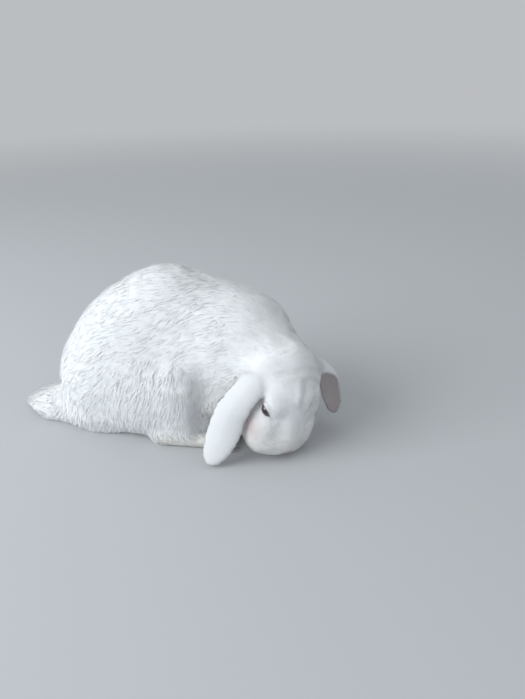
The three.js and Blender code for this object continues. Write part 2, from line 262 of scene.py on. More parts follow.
def merged_flesh():
    """All flesh as one closed mesh, with the eyes' balls filling their sockets."""
    joined = bmesh.new()
    for name, node in NODES.items():
        if name.startswith("claw"):
            continue
        part = bmesh.new()
        part.from_mesh(node.data)
        bmesh.ops.remove_doubles(part, verts=part.verts, dist=0.001 * MM)
        part.normal_update()
        swell = ear_swell(part) if name.startswith("ear") else [SWELL] * len(part.verts)
        for vert, out in zip(part.verts, swell):
            vert.co += vert.normal * out
        mesh = bpy.data.meshes.new(name)
        part.to_mesh(mesh)
        joined.from_mesh(mesh)
        part.free()
    mesh = bpy.data.meshes.new("flesh")
    joined.to_mesh(mesh)
    joined.free()
    flesh = added("flesh", mesh)
    remesh = flesh.modifiers.new("remesh", "REMESH")
    remesh.mode = "VOXEL"
    remesh.voxel_size = VOXEL
    return with_modifiers(flesh)


def with_modifiers(piece):
    """The mesh that an object's modifiers make. The object itself is taken away."""
    shown = piece.evaluated_get(bpy.context.evaluated_depsgraph_get())
    mesh = bpy.data.meshes.new_from_object(shown)
    bpy.data.objects.remove(piece)
    return mesh


def ear_swell(ear):
    """How far each vertex of an ear moves out. The side towards the head moves in, below the root and away
    from the rim, and the rim grows thick enough to be kept."""
    solid = BVHTree.FromBMesh(ear)
    top = max(vert.co.z for vert in ear.verts)
    swell = []
    for vert in ear.verts:
        opposite = solid.ray_cast(vert.co - vert.normal * 0.02 * MM, -vert.normal)
        full = min((opposite[3] or 0) / EAR_THICKNESS, 1)
        inner = rise(vert.normal.dot((Vector(HEAD_ORIGIN) - vert.co).normalized()), 0, 0.5)
        hollow = EAR_HOLLOW * inner * rise(top - vert.co.z, *EAR_ROOT)
        swell.append(SWELL - hollow * full**2 + EAR_RIM * (1 - full))
    return swell


class Surface:
    """A mesh's vertices, faces and edges as arrays. All its faces have the same number of corners."""

    def __init__(self, mesh):
        corners = len(mesh.loops) // len(mesh.polygons)
        self.vertices = read(mesh.vertices, "co", 3)
        self.faces = np.empty(len(mesh.loops), int)
        mesh.loops.foreach_get("vertex_index", self.faces)
        self.faces = self.faces.reshape(-1, corners)
        pairs = np.vstack([self.faces[:, [i, (i + 1) % corners]] for i in range(corners)])
        self.edges = np.unique(np.sort(pairs, axis=1), axis=0)
        self.degree = np.bincount(self.edges.ravel(), minlength=len(self.vertices))

    def averaged(self, values):
        """The mean over each vertex's neighbours."""
        a, b = self.edges.T
        columns = values.reshape(len(values), -1)
        mean = np.empty_like(columns)
        for c in range(columns.shape[1]):
            column = columns[:, c]
            mean[:, c] = np.bincount(a, column[b], len(column)) + np.bincount(b, column[a], len(column))
        return (mean / self.degree[:, None]).reshape(values.shape)

    def smoothed(self, values, rounds, share=0.5):
        for _ in range(rounds):
            values = values + share * (self.averaged(values) - values)
        return values

    def face_crosses(self):
        """For each face, its normal with twice its area as length."""
        p = self.vertices[self.faces]
        return np.cross(p[:, 2] - p[:, 0], p[:, -1] - p[:, 1])

    def normals(self):
        across = self.face_crosses()
        total = np.zeros_like(self.vertices)
        for corner in self.faces.T:
            for axis in range(3):
                total[:, axis] += np.bincount(corner, across[:, axis], len(total))
        return unit(total)

    def areas(self):
        return np.linalg.norm(self.face_crosses(), axis=1) / 2

    def tree(self):
        return BVHTree.FromPolygons(self.vertices, self.faces.tolist())


def read(collection, what, width):
    values = np.empty(len(collection) * width)
    collection.foreach_get(what, values)
    return values.reshape(-1, width) if width > 1 else values


# ---- Regions ----

# What the coat is like on each part of the body, in millimetres: its depth over the skin, the length and
# width of a tuft, and the tufts on a square millimetre. clump is how far tufts lean together, strays the
# share that stands out, and facets how many rounds smooth the solid's facets away.
COAT = {
    "trunk": dict(depth=1.5, length=14, width=0.90, density=1.10, clump=0.05, strays=0.05, facets=14),
    "neck": dict(depth=1.4, length=12, width=0.85, density=1.20, clump=0.05, strays=0.03, facets=14),
    "tail": dict(depth=3.0, length=22, width=0.75, density=2.8, clump=0.10, strays=0.30, facets=8),
    "head": dict(depth=0.8, length=5.5, width=0.62, density=2.7, clump=0.03, strays=0, facets=5),
    "ear": dict(depth=0.5, length=4.0, width=0.40, density=2.5, clump=0, strays=0, facets=12),
    "hind_leg": dict(depth=1.5, length=14, width=0.90, density=1.20, clump=0.05, strays=0.06, facets=12),
    "hind_foot": dict(depth=1.4, length=7.0, width=0.70, density=2.1, clump=0.12, strays=0.02, facets=4),
    "foreleg": dict(depth=1.8, length=8.5, width=0.75, density=1.8, clump=0.10, strays=0.02, facets=6),
    "eye": dict(depth=0.8, length=4.0, width=0.50, density=2.7, clump=0, strays=0, facets=5),
}
SKIRT = (8 * MM, 28 * MM)  # heights between which more and more hair of the rump and thighs stands out
SKIRT_STRAYS = 0.4
SHORTEST = 0.25  # share of the coat's depth and length that is left where it ends
THINNEST = 0.5  # share of its tufts' width
REACH = 12 * MM  # of a node, round its box
BLEND = 16  # rounds that blend one part's coat into the next


def kind_of(node):
    for kind in COAT:
        if node.startswith(kind):
            return kind


FLESH = sorted(name for name in NODES if kind_of(name))


def nearest_node(points):
    """For each point, the index in FLESH of the node that it lies nearest."""
    best = np.full(len(points), np.inf)
    nearest = np.zeros(len(points), int)
    for i, name in enumerate(FLESH):
        low, high = (np.array(corner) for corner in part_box(name))
        tree = BVHTree.FromObject(NODES[name], bpy.context.evaluated_depsgraph_get())
        close = np.all((points > low - REACH) & (points < high + REACH), axis=1)
        for p in np.flatnonzero(close):
            distance = tree.find_nearest(points[p])[3]
            if distance < best[p]:
                best[p] = distance
                nearest[p] = i
    return nearest


def make_skin_surface():
    surface = Surface(merged_flesh())
    nearest = nearest_node(surface.vertices)
    share = np.zeros((len(nearest), len(FLESH)))
    share[np.arange(len(nearest)), nearest] = 1
    surface.share = surface.smoothed(share, BLEND)

    # Facets are smoothed away, most where they are largest.
    # What that took off the form as a whole is then put back.
    rounds = by_region(surface, "facets")
    sharp = surface.vertices
    soft = relaxed(surface, sharp, rounds)
    surface.vertices = soft + relaxed(surface, sharp - soft, rounds)
    left = surface.smoothed(coat_left(in_head(surface.vertices)), 3)
    depth = by_region(surface, "depth") * at_least(SHORTEST, left) * MM
    normals = surface.smoothed(surface.normals(), 3)
    surface.vertices -= unit(normals) * depth[:, None]
    return with_face(refined(surface))


def relaxed(surface, values, rounds):
    """The values smoothed for a number of rounds that each vertex has for itself."""
    for done in range(int(rounds.max()) + 1):
        weight = np.clip(rounds - done, 0, 1)[:, None] * 0.6
        values = values + weight * (surface.averaged(values) - values)
    return values


def by_region(surface, quality):
    """A quality of the coat at each of the surface's vertices, blended where parts meet."""
    return surface.share @ np.array([COAT[kind_of(name)][quality] for name in FLESH], float)


def part_share(surface, *kinds):
    """How far each vertex belongs to parts of these kinds."""
    return surface.share[:, [kind_of(name) in kinds for name in FLESH]].sum(axis=1)


def is_face(surface):
    """Whether each vertex is one of the face's."""
    return part_share(surface, "head", "eye") > 0.3


FINE_AT_NOSE = (26, 16)  # how far out the skin's faces are made smaller once, and once more
FINE_AT_EYE = (17, 13)
FINE_LINE = 1.4  # the same on both sides of the nostrils, lips and slits
MOST_SPLITS = 3


def splits_at(points):
    """How many times the skin's faces are halved at each point of the head frame, for its lids, nose and
    lips: once in a wide round, again in a close one, and once more along the lines."""
    nose = np.linalg.norm(points - NOSE, axis=1)
    at_line = np.min(face_lines(points), axis=0) < FINE_LINE
    wide, close = FINE_AT_NOSE
    splits = (nose < wide).astype(int) + (nose < close) + at_line * (nose < wide)
    wide, close = FINE_AT_EYE
    for side in SIDES.values():
        distance, outside, _ = round_eye(points, side)
        at_slit = np.abs(outside) < FINE_LINE
        at_eye = (distance < wide).astype(int) + (distance < close) + at_slit * (distance < close)
        splits = np.maximum(splits, at_eye)
    return splits


def refined(surface):
    """The surface in triangles, with smaller ones where the face needs them."""
    mesh = mesh_of("refined", surface.vertices, surface.faces)
    for name, column in zip(FLESH, surface.share.T):
        give_number(mesh, name, column)
    skin = bmesh.new()
    skin.from_mesh(mesh)
    for done in range(MOST_SPLITS):
        skin.verts.index_update()
        wanted = splits_at(in_head(np.array([vert.co for vert in skin.verts]))) > done
        edges = [edge for edge in skin.edges if wanted[edge.verts[0].index] and wanted[edge.verts[1].index]]
        bmesh.ops.subdivide_edges(skin, edges=edges, cuts=1, use_grid_fill=True)
    bmesh.ops.triangulate(skin, faces=skin.faces)
    skin.to_mesh(mesh)
    skin.free()
    fine = Surface(mesh)
    fine.share = np.stack([read(mesh.attributes[name].data, "value", 1) for name in FLESH], axis=1)
    return fine


# ---- The face, shaped in the skin ----

def with_face(surface):
    """The surface with lids round the eyes, nostrils, a split lip and a mouth."""
    head = in_head(surface.vertices)
    near = is_face(surface)
    shaped = head[near]
    for side in SIDES.values():
        shaped = with_lids(shaped, side)
    out = (surface.normals() @ HEAD_AXES)[near]
    half = mirrored(shaped)
    pads = sum(high * bell(np.linalg.norm(half - middle, axis=1) / wide) for high, wide, middle in PADS)
    shares = (1, rise(-shaped[:, 2], *CLEFT_BEGINS), 1)
    lines = zip(DENTS, face_lines(shaped), shares)
    dents = sum(deep * bell(distance / wide) * share for (deep, wide), distance, share in lines)
    folds = sum(high * bell(from_line(shaped, line) / wide) for high, wide, line in FOLDS)
    shaped = shaped + out * (pads + folds - dents)[:, None]
    surface.vertices[near] = on_head(shaped)
    return surface


def with_lids(points, side):
    """Lids over the ball, with a crease, that pass into the face, and the slit's inside under the ball."""
    distance, outside, _ = round_eye(points, side)
    middle = sided(EYE_IN_HEAD, side)
    swell, swollen = LID_SWELL
    deep, place, wide = LID_CREASE
    lid = BALL + LID_THICKNESS + swell * np.clip(outside, 0, swollen) - deep * bell((outside - place) / wide)
    onto_face = rise(outside, *LID_TO_FACE)
    wanted = np.maximum(lid * (1 - onto_face) + distance * onto_face, BALL + BALL_CLEARANCE)
    wanted = np.where(outside < LID_EDGE, BALL + LID_EDGE, wanted)
    wanted = np.where(outside < -LID_EDGE, BALL - SLIT_DEPTH, wanted)
    moved = middle + (points - middle) * (wanted / np.maximum(distance, 1e-9))[:, None]
    return np.where((distance < LIDS_REACH)[:, None], moved, points)


# ---- Markings, and painted shade ----

WHITE = (0.90, 0.915, 0.925)
# The ears' white, darker than WHITE: painted shade standing in for the shade among the tufts that darkens
# the rest of the coat.
EAR_WHITE_PAINTED_SHADE = (0.70, 0.715, 0.73)
CREAM = (0.86, 0.845, 0.80)
PINK = (0.70, 0.53, 0.50)
CHEEK_PINK_AND_PAINTED_SHADE = (0.70, 0.59, 0.585)  # the thinly haired cheek behind and below the eye: pink skin, with painted shade of the ear and pink light through it
# Dark rims of the lids, and painted shade in the nostrils, the cleft and the mouth.
LID_RIM_AND_CREASE_SHADE = (0.12, 0.09, 0.09)


def mark(surface):
    """Gives each vertex its colour, with painted shade on the ears, the cheeks and in the face's dents, and
    the share of its coat that it keeps.
    """
    head = in_head(surface.vertices)
    normals = surface.normals()
    on_face = is_face(surface)
    ear = part_share(surface, "ear")
    towards_head = np.sum(normals * unit(HEAD_ORIGIN - surface.vertices), axis=1)
    in_ear = surface.smoothed(ear * rise(towards_head, 0.1, 0.6), 2)
    left = np.where(on_face, coat_left(head), 1)
    surface.coat_left = left * (1 - 0.65 * in_ear)

    tint = np.tile(np.array(WHITE), (len(head), 1))

    def paint(colour, share):
        tint[:] += np.clip(share, 0, 1)[:, None] * (np.array(colour) - tint)

    paint(CREAM, part_share(surface, "hind_foot", "foreleg") * 0.9)
    paint(CREAM, on_face * rise(head[:, 0], 20, 45) * 0.5)
    # Painted shade: the ears take a darker white, as their flat hair casts none of the coat's shade among
    # tufts.
    paint(EAR_WHITE_PAINTED_SHADE, ear)
    paint(PINK, in_ear * 0.45)
    nostril, cleft, mouth = face_lines(head)
    nose = np.linalg.norm(mirrored(head) - (50, 1.5, -6.5), axis=1)
    paint(PINK, on_face * (1 - rise(nose, 3, 8)) * 0.8)
    # Painted shade in the dents of the nostrils, the cleft and the mouth.
    paint(LID_RIM_AND_CREASE_SHADE, on_face * (1 - rise(np.min((nostril, cleft, mouth), axis=0), 0.5, 1.3)))
    # Painted shade of the ear over the cheeks, tinted pink by light through the ear, on their thin pink
    # skin.
    behind_eye = np.linalg.norm((mirrored(head) - (22, 38, -8)) / (16, 10, 10), axis=1)
    paint(CHEEK_PINK_AND_PAINTED_SHADE, on_face * bell(behind_eye) * 0.85)
    for side in SIDES.values():
        distance, outside, above = round_eye(head, side)
        at_eye = on_face * (distance < LIDS_REACH)
        paint(PINK, at_eye * (1 - rise(outside, 0.8, 4)) * np.where(above > 0, 0.3, 0.6))
        paint(LID_RIM_AND_CREASE_SHADE, at_eye * (1 - rise(outside, 0.3, 0.9)))
    surface.tint = tint


# ---- The lie of the coat ----

def row(vector):
    """The same way at every point."""
    return lambda points: np.broadcast_to(unit(np.array(vector, float)), points.shape)


def lie_of_head(points):
    """Back from the nose, and outwards and down over the cheeks."""
    x, y, z = in_head(points).T
    lie = np.stack([-np.ones_like(x), y * 0.012, -np.clip(np.abs(y) - 10, 0, 20) * 0.02], axis=1)
    return unit(lie @ HEAD_AXES.T)


def lie_of_ear(side):
    """Out from the head at the root, then down to the tip."""
    low, high = (np.array(corner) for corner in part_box(f"ear_{side}"))
    tip = (low + high) / 2
    tip[2] = low[2] - 0.02
    out = HEAD_AXES[:, 1] * SIDES[side]

    def lie(points):
        near_root = np.clip((points[:, 2:] - high[2] + 0.025) / 0.02, 0, 1)
        return unit(unit(tip - points) * (1 - near_root) + out * near_root)

    return lie


def lie_of_trunk(points):
    """Back along the spine, and more and more down towards the floor."""
    down = -0.45 - 1.2 * np.clip((0.10 - points[:, 2]) / 0.07, 0, 1)
    return unit(np.stack([np.full(len(points), -1.0), 0 * down, down], axis=1))


LIE = {
    "trunk": lie_of_trunk,
    "neck": row((-0.85, 0.35, 0.1)),
    "tail": row((-1, 0, -0.12)),
    "head": lie_of_head,
    "eye_left": lie_of_head,
    "eye_right": lie_of_head,
    "ear_left": lie_of_ear("left"),
    "ear_right": lie_of_ear("right"),
    "hind_leg": row((-0.45, 0, -1)),
    "hind_foot": row((1, 0, -0.1)),
    "foreleg": row((0.25, 0, -1)),
}


def lie_over(surface, normals):
    """The way the hair lies at each vertex, along the skin."""
    lie = np.zeros_like(surface.vertices)
    for i, name in enumerate(FLESH):
        field = LIE.get(name) or LIE[kind_of(name)]
        lie += surface.share[:, i:i + 1] * field(surface.vertices)
    for _ in range(12):
        lie -= normals * np.sum(lie * normals, axis=1, keepdims=True)
        lie = surface.smoothed(unit(lie), 1)
    lie -= normals * np.sum(lie * normals, axis=1, keepdims=True)
    return unit(lie)


def ripple(points, height, wavelength, seed):
    """A smooth random number at each point, up to about the height, with hills a wavelength apart."""
    draw = np.random.default_rng(seed)
    waves = unit(draw.normal(size=(6, 3))) * 2 * np.pi / wavelength * draw.uniform(0.6, 1.4, (6, 1))
    return height * (np.sin(points @ waves.T + draw.uniform(0, 2 * np.pi, 6)).sum(axis=1) / 2.5)


# ---- Meshes from arrays ----

def mesh_of(name, vertices, faces):
    """A mesh from an array of vertices and an array of faces that all have the same number of corners."""
    corners = faces.shape[1]
    mesh = bpy.data.meshes.new(name)
    mesh.vertices.add(len(vertices))
    mesh.vertices.foreach_set("co", vertices.astype(np.float32).ravel())
    mesh.loops.add(faces.size)
    mesh.loops.foreach_set("vertex_index", faces.astype(np.int32).ravel())
    mesh.polygons.add(len(faces))
    mesh.polygons.foreach_set("loop_start", np.arange(0, faces.size, corners, dtype=np.int32))
    mesh.polygons.foreach_set("loop_total", np.full(len(faces), corners, np.int32))
    mesh.polygons.foreach_set("use_smooth", np.ones(len(faces), bool))
    mesh.update(calc_edges=True)
    return mesh


def give_number(mesh, name, values):
    """A number on each of the mesh's vertices."""
    numbers = np.asarray(values).astype(np.float32)
    mesh.attributes.new(name, "FLOAT", "POINT").data.foreach_set("value", numbers)


def give_tint(mesh, tint):
    """A colour on each of the mesh's vertices."""
    colours = np.column_stack([tint, np.ones(len(tint))]).astype(np.float32)
    mesh.attributes.new("tint", "FLOAT_COLOR", "POINT").data.foreach_set("color", colours.ravel())


def give_map(mesh, uv):
    """A place in the UV map OFBake for each corner of the mesh's faces."""
    mesh.uv_layers.new(name="OFBake").data.foreach_set("uv", uv.astype(np.float32).ravel())


def show(name, mesh, material):
    """A visible piece of the body."""
    piece = added(name, mesh)
    mesh.materials.append(material)
    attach(piece, "root")
    return piece


# ---- Tufts ----

BAKE_PATCH = 0.003  # width of a tuft's patch on the skin's unwrap
MOST_TUFTS = 222000
MOST_TRIANGLES = 190000  # in one piece
LOWEST = 0.25 * MM  # height of the lowest hair over the floor
ROOT_DEPTH = 0.5 * MM  # of a tuft's root under the skin
TURN = (0.40, 0.84)  # how far along a tuft it turns, and how high there, as shares of its length and lift
TIP_LIFT = 0.92
TUFTS_TO_A_LEADER = 12
LEAN_REACH = 0.35  # of a tuft's length, within which it leans towards a leader
LEAN = (0.6, 1.2)  # least and most, times its part's clump
TURN_LEAN = 0.35  # share of the tip's lean that the turn takes
COAT_WAVES = ((0.18, 0.05, 3), (0.12, 0.014, 4))  # radians to the side, metres from wave to wave, seed
WAYWARD = 0.07  # radians that single tufts lie off their neighbours' way
LENGTHS = (0.75, 1.12)  # least and most, times the part's own
LIFTS = (0.96, 1.03)
LIFT_WAVE = (0.04, 0.02, 5)
STRAY_LENGTH = 1.2  # times that of other tufts
STRAY_LIFT = (1.2, 2.4)
SHADING_SPREAD = 0.05
ROUNDNESS = 0.2  # how far a tuft's shading turns to its sides
TONE_SPREAD = 0.2

# A tuft's points are its root, three round its turn, and its tip. Its triangles are those below and above.
TUFT_POINTS = 5
BELOW = ((0, 2, 1), (4, 1, 2))
ABOVE = ((0, 1, 3), (0, 3, 2), (4, 3, 1), (4, 2, 3))
ROUND_TURN = ((-0.5, 0.0), (0.5, 0.0), (0.0, 0.1))  # across and up, in widths


def unwrap(mesh):
    """Lays the skin's own shape out flat in the UV map OFBake."""
    piece = added("to_unwrap", mesh)
    bpy.context.view_layer.objects.active = piece
    piece.select_set(True)
    mesh.uv_layers.new(name="OFBake")
    bpy.ops.object.mode_set(mode="EDIT")
    bpy.ops.mesh.select_all(action="SELECT")
    bpy.ops.uv.smart_project(angle_limit=math.radians(70), island_margin=0.002)
    bpy.ops.object.mode_set(mode="OBJECT")
    bpy.data.objects.remove(piece)
    return read(mesh.uv_layers["OFBake"].data, "uv", 2).reshape(-1, 3, 2)


def grow_roots(surface, uv):
    """Where tufts grow: numbers for each tuft, drawn evenly over the skin by the coat's density."""
    normals = unit(surface.smoothed(surface.normals(), 2))
    lie = lie_over(surface, normals)
    left = surface.coat_left
    qualities = {
        "length": by_region(surface, "length") * at_least(SHORTEST, left),
        "width": by_region(surface, "width") * at_least(THINNEST, left),
        "depth": by_region(surface, "depth") * at_least(SHORTEST, left),
        "clump": by_region(surface, "clump"),
        "strays": by_region(surface, "strays") + SKIRT_STRAYS * in_skirt(surface),
    }
    more_where_short = (1 + 1.4 * (1 - left)) * (left > 0)
    density = by_region(surface, "density") * more_where_short * (1 - smooth_ear(surface))
    wanted = density[surface.faces].mean(axis=1) * surface.areas() / MM**2
    wanted *= np.all(left[surface.faces] > 0, axis=1)
    wanted *= min(1, MOST_TUFTS / wanted.sum())
    count = np.floor(wanted + rng.random(len(wanted))).astype(int)
    face = np.repeat(np.arange(len(count)), count)
    corner_share = rng.dirichlet((1, 1, 1), len(face))

    def here(values):
        return np.einsum("nc,nc...->n...", corner_share, values[surface.faces[face]])

    roots = {
        "place": here(surface.vertices),
        "normal": unit(here(normals)),
        "lie": unit(here(lie)),
        "uv": np.einsum("nc,ncd->nd", corner_share, uv[face]),
        "tint": here(surface.tint),
    }
    return roots | {quality: here(values) for quality, values in qualities.items()}


def in_skirt(surface):
    """How far each vertex is in the fringe of long hair low on the rump and the thighs."""
    below = 1 - rise(surface.vertices[:, 2], *SKIRT)
    return part_share(surface, "trunk", "hind_leg") * below


def smooth_ear(surface):
    """1 on an ear's sides, whose short flat hair is in the skin's bump, and 0 at its rim and on all else."""
    bend = np.linalg.norm(surface.smoothed(surface.normals(), 4), axis=1)
    return rise(part_share(surface, "ear"), 0.5, 0.95) * rise(bend, 0.80, 0.94)


def nearest_of(points, centres):
    """The index of the centre that each point lies nearest."""
    tree = KDTree(len(centres))
    for i, centre in enumerate(centres):
        tree.insert(centre, i)
    tree.balance()
    return np.array([tree.find(point)[1] for point in points])


def bend_tufts(surface, roots):
    """The three points of each tuft's curved line: its root, where it turns along the body, and its tip."""
    count = len(roots["place"])
    normal, lie, place = roots["normal"], roots["lie"], roots["place"]
    side = np.cross(normal, lie)
    angle = sum(ripple(place, *wave) for wave in COAT_WAVES) + rng.normal(0, WAYWARD, count)
    lie = lie * np.cos(angle)[:, None] + side * np.sin(angle)[:, None]
    stray = rng.random(count) < roots["strays"]
    length = roots["length"] * rng.uniform(*LENGTHS, count) * np.where(stray, STRAY_LENGTH, 1) * MM
    lift = roots["depth"] * (rng.uniform(*LIFTS, count) + ripple(place, *LIFT_WAVE)) * MM
    lift *= np.where(stray, rng.uniform(*STRAY_LIFT, count), 1)
    root = place - normal * ROOT_DEPTH
    turn = root + lie * TURN[0] * length[:, None] + normal * TURN[1] * lift[:, None]
    tip = root + lie * length[:, None] + normal * TIP_LIFT * lift[:, None]

    # Neighbours lean together towards the tip of one of them.
    leaders = rng.choice(count, count // TUFTS_TO_A_LEADER, replace=False)
    leader = leaders[nearest_of(place, place[leaders])]
    pull = roots["clump"][:, None] * rng.uniform(*LEAN, (count, 1))
    near = (np.linalg.norm(place[leader] - place, axis=1) < LEAN_REACH * length)[:, None]
    pull = pull * near * np.clip(np.sum(normal * normal[leader], axis=1), 0, 1)[:, None]
    turn = turn + TURN_LEAN * pull * (turn[leader] - turn)
    tip = tip + pull * (tip[leader] - tip)
    skin_tree = surface.tree()
    return root, laid_down(skin_tree, turn, lift * TIP_LIFT), laid_down(skin_tree, tip, lift)


def laid_down(skin_tree, points, height):
    """The points no farther from the skin than their height, and no nearer than a share of it."""
    nearest_share = 0.4
    laid = points.copy()
    for i, point in enumerate(points):
        on_skin, normal, _, distance = skin_tree.find_nearest(point)
        out = Vector(point) - on_skin
        if out.dot(normal) < nearest_share * height[i]:
            laid[i] = on_skin + normal * nearest_share * height[i]
        elif distance > height[i]:
            laid[i] = on_skin + out * (height[i] / distance)
    return laid


def tuft_meshes(roots, lines):
    """Vertices, triangles, and at the triangles' corners normals and map places, of closed pointed tufts.

    The upper sides are shaded nearly as the skin below is, so that the coat takes the light as one soft
    surface. tone runs along a tuft, from 0 at its root to 1 at its tip.
    """
    root, turn, tip = lines
    count = len(root)
    shading = unit(roots["normal"] + rng.normal(0, SHADING_SPREAD, (count, 3)))
    along = unit(tip - root)
    side = unit(np.cross(roots["normal"], along))
    up = np.cross(along, side)
    width = (roots["width"] * MM)[:, None]
    vertices, upper, under = (np.empty((count, TUFT_POINTS, 3)) for _ in range(3))
    uv = np.empty((count, TUFT_POINTS, 2))
    tone = np.empty((count, TUFT_POINTS))
    for at, (across, raised) in enumerate(ROUND_TURN, 1):
        vertices[:, at] = turn + side * across * width + up * raised * width
        upper[:, at] = unit(shading + side * ROUNDNESS * across)
        under[:, at] = unit(side * across - up)
        uv[:, at] = roots["uv"] + np.array([across, TURN[0]]) * BAKE_PATCH
        tone[:, at] = TURN[0]
    for at, point, share in ((0, root, 0), (TUFT_POINTS - 1, tip, 1)):
        vertices[:, at] = point
        upper[:, at] = shading
        under[:, at] = -up
        uv[:, at] = roots["uv"] + np.array([0, share]) * BAKE_PATCH
        tone[:, at] = share
    tone += rng.uniform(-TONE_SPREAD, TONE_SPREAD, (count, 1))
    vertices[..., 2] = np.maximum(vertices[..., 2], LOWEST)

    corners = np.array(BELOW + ABOVE)
    triangles = (np.arange(count)[:, None, None] * TUFT_POINTS + corners).reshape(-1, 3)
    normals = np.concatenate([under[:, np.array(BELOW)], upper[:, np.array(ABOVE)]], axis=1)
    return vertices.reshape(-1, 3), triangles, normals.reshape(-1, 3), uv[:, corners], tone.ravel()


def show_coat(name, roots, lines, material):
    """The tufts as pieces that each stay under the most triangles that a piece may have."""
    order = np.argsort(roots["place"][:, 0], kind="stable")
    pieces = math.ceil(len(order) * len(BELOW + ABOVE) / MOST_TRIANGLES)
    for number, chunk in enumerate(np.array_split(order, pieces), 1):
        some = {key: values[chunk] for key, values in roots.items()}
        vertices, triangles, normals, uv, tone = tuft_meshes(some, [line[chunk] for line in lines])
        mesh = mesh_of(f"{name}_{number}", vertices, triangles)
        give_map(mesh, uv)
        give_number(mesh, "tone", tone)
        give_tint(mesh, np.repeat(some["tint"], TUFT_POINTS, axis=0))
        mesh.normals_split_custom_set(normals.astype(np.float32))
        show(mesh.name, mesh, material)


# ---- Materials ----

NOISE_SPAN = (0.3, 0.7)  # between which nearly all values of a noise lie
RINGS_END = 1.6  # radians from the middle of the pupil

# Where each ring of the eye is, from 0 in the middle of the pupil to 1 at RINGS_END, and its colour.
EYE_RINGS = (
    (0.19, (0.004, 0.004, 0.006)),  # the pupil's edge
    (0.23, (0.028, 0.034, 0.05)),  # the iris within
    (0.46, (0.05, 0.062, 0.085)),  # and farther out
    (0.54, (0.01, 0.011, 0.014)),  # its dark edge
    (0.62, (0.045, 0.038, 0.042)),  # the ball
)
CLAW_ENDS = ((0.35, (0.42, 0.33, 0.27)), (0.65, (0.60, 0.52, 0.46)))  # the horn's darkest and lightest


class Painter:
    """A material that is being put together, with short ways to add and join nodes."""

    def __init__(self, name, roughness, specular=0.5):
        self.material = bpy.data.materials.new(name)
        self.material.use_nodes = True
        self.nodes = self.material.node_tree.nodes
        self.shader = self.nodes["Principled BSDF"]
        self.shader.inputs["Roughness"].default_value = roughness
        self.shader.inputs["Specular IOR Level"].default_value = specular

    def join(self, output, socket):
        self.material.node_tree.links.new(output, socket)

    def attribute(self, name):
        node = self.nodes.new("ShaderNodeAttribute")
        node.attribute_name = name
        return node

    def noise(self, scale, detail=3.0, stretch=(1, 1, 1)):
        node = self.nodes.new("ShaderNodeTexNoise")
        node.inputs["Scale"].default_value = scale
        node.inputs["Detail"].default_value = detail
        place = self.nodes.new("ShaderNodeMapping")
        place.inputs["Scale"].default_value = stretch
        self.join(self.nodes.new("ShaderNodeTexCoord").outputs["Object"], place.inputs["Vector"])
        self.join(place.outputs["Vector"], node.inputs["Vector"])
        return node.outputs["Fac"]

    def mapped(self, value, source, target):
        """A value of one span, low and high, laid over another."""
        node = self.nodes.new("ShaderNodeMapRange")
        for socket, number in zip(list(node.inputs)[1:5], source + target):
            socket.default_value = number
        self.join(value, node.inputs["Value"])
        return node.outputs["Result"]

    def times(self, colour, value):
        node = self.nodes.new("ShaderNodeVectorMath")
        node.operation = "SCALE"
        self.join(colour, node.inputs[0])
        self.join(value, node.inputs["Scale"])
        return node.outputs["Vector"]

    def mottled(self, colour, scale, lightness):
        """The colour, made lighter and darker from place to place within a span of lightness."""
        return self.times(colour, self.mapped(self.noise(scale), NOISE_SPAN, lightness))

    def ramp(self, value, stops):
        node = self.nodes.new("ShaderNodeValToRGB")
        elements = node.color_ramp.elements
        while len(elements) < len(stops):
            elements.new(0.5)
        for element, (place, colour) in zip(elements, stops):
            element.position = place
            element.color = (*colour, 1)
        self.join(value, node.inputs["Fac"])
        return node.outputs["Color"]

    def bump(self, height, distance, strength=1.0):
        node = self.nodes.new("ShaderNodeBump")
        node.inputs["Distance"].default_value = distance
        node.inputs["Strength"].default_value = strength
        self.join(height, node.inputs["Height"])
        self.join(node.outputs["Normal"], self.shader.inputs["Normal"])

    def paint(self, colour):
        self.join(colour, self.shader.inputs["Base Color"])

    def mixed_with(self, other, share):
        """Another shader takes a share, a number or a socket, of the surface."""
        both = self.nodes.new("ShaderNodeMixShader")
        if isinstance(share, float):
            both.inputs["Fac"].default_value = share
        else:
            self.join(share, both.inputs["Fac"])
        self.join(self.shader.outputs["BSDF"], both.inputs[1])
        self.join(other, both.inputs[2])
        self.join(both.outputs["Shader"], self.nodes["Material Output"].inputs["Surface"])


def fur_material():
    """White hair: greyer towards its root, a little uneven, and it lets some light through."""
    fur = Painter("fur", roughness=0.75, specular=0.25)
    colour = fur.attribute("tint").outputs["Color"]
    colour = fur.times(colour, fur.mapped(fur.attribute("tone").outputs["Fac"], (0, 1), (0.96, 1.03)))
    colour = fur.mottled(colour, 120, (0.98, 1.02))
    fur.paint(colour)
    through = fur.nodes.new("ShaderNodeBsdfTranslucent")
    fur.join(colour, through.inputs["Color"])
    fur.mixed_with(through.outputs["BSDF"], 0.12)
    return fur.material


def skin_material():
    """The skin with the close short hair that lies flat on it."""
    skin = Painter("skin", roughness=0.7, specular=0.3)
    skin.paint(skin.mottled(skin.attribute("tint").outputs["Color"], 350, (0.98, 1.01)))
    skin.bump(skin.noise(1500, detail=2.0, stretch=(1, 1, 0.25)), distance=0.2 * MM, strength=0.5)
    return skin.material


def eye_material():
    """A black pupil in a dark slate iris with a darker edge, behind a wet cornea."""
    eye = Painter("eye", roughness=0.12)
    eye.shader.inputs["Coat Weight"].default_value = 1
    eye.shader.inputs["Coat Roughness"].default_value = 0.03
    rings = eye.ramp(eye.attribute("from_pupil").outputs["Fac"], EYE_RINGS)
    eye.paint(eye.mottled(rings, 1400, (0.6, 1.4)))
    return eye.material


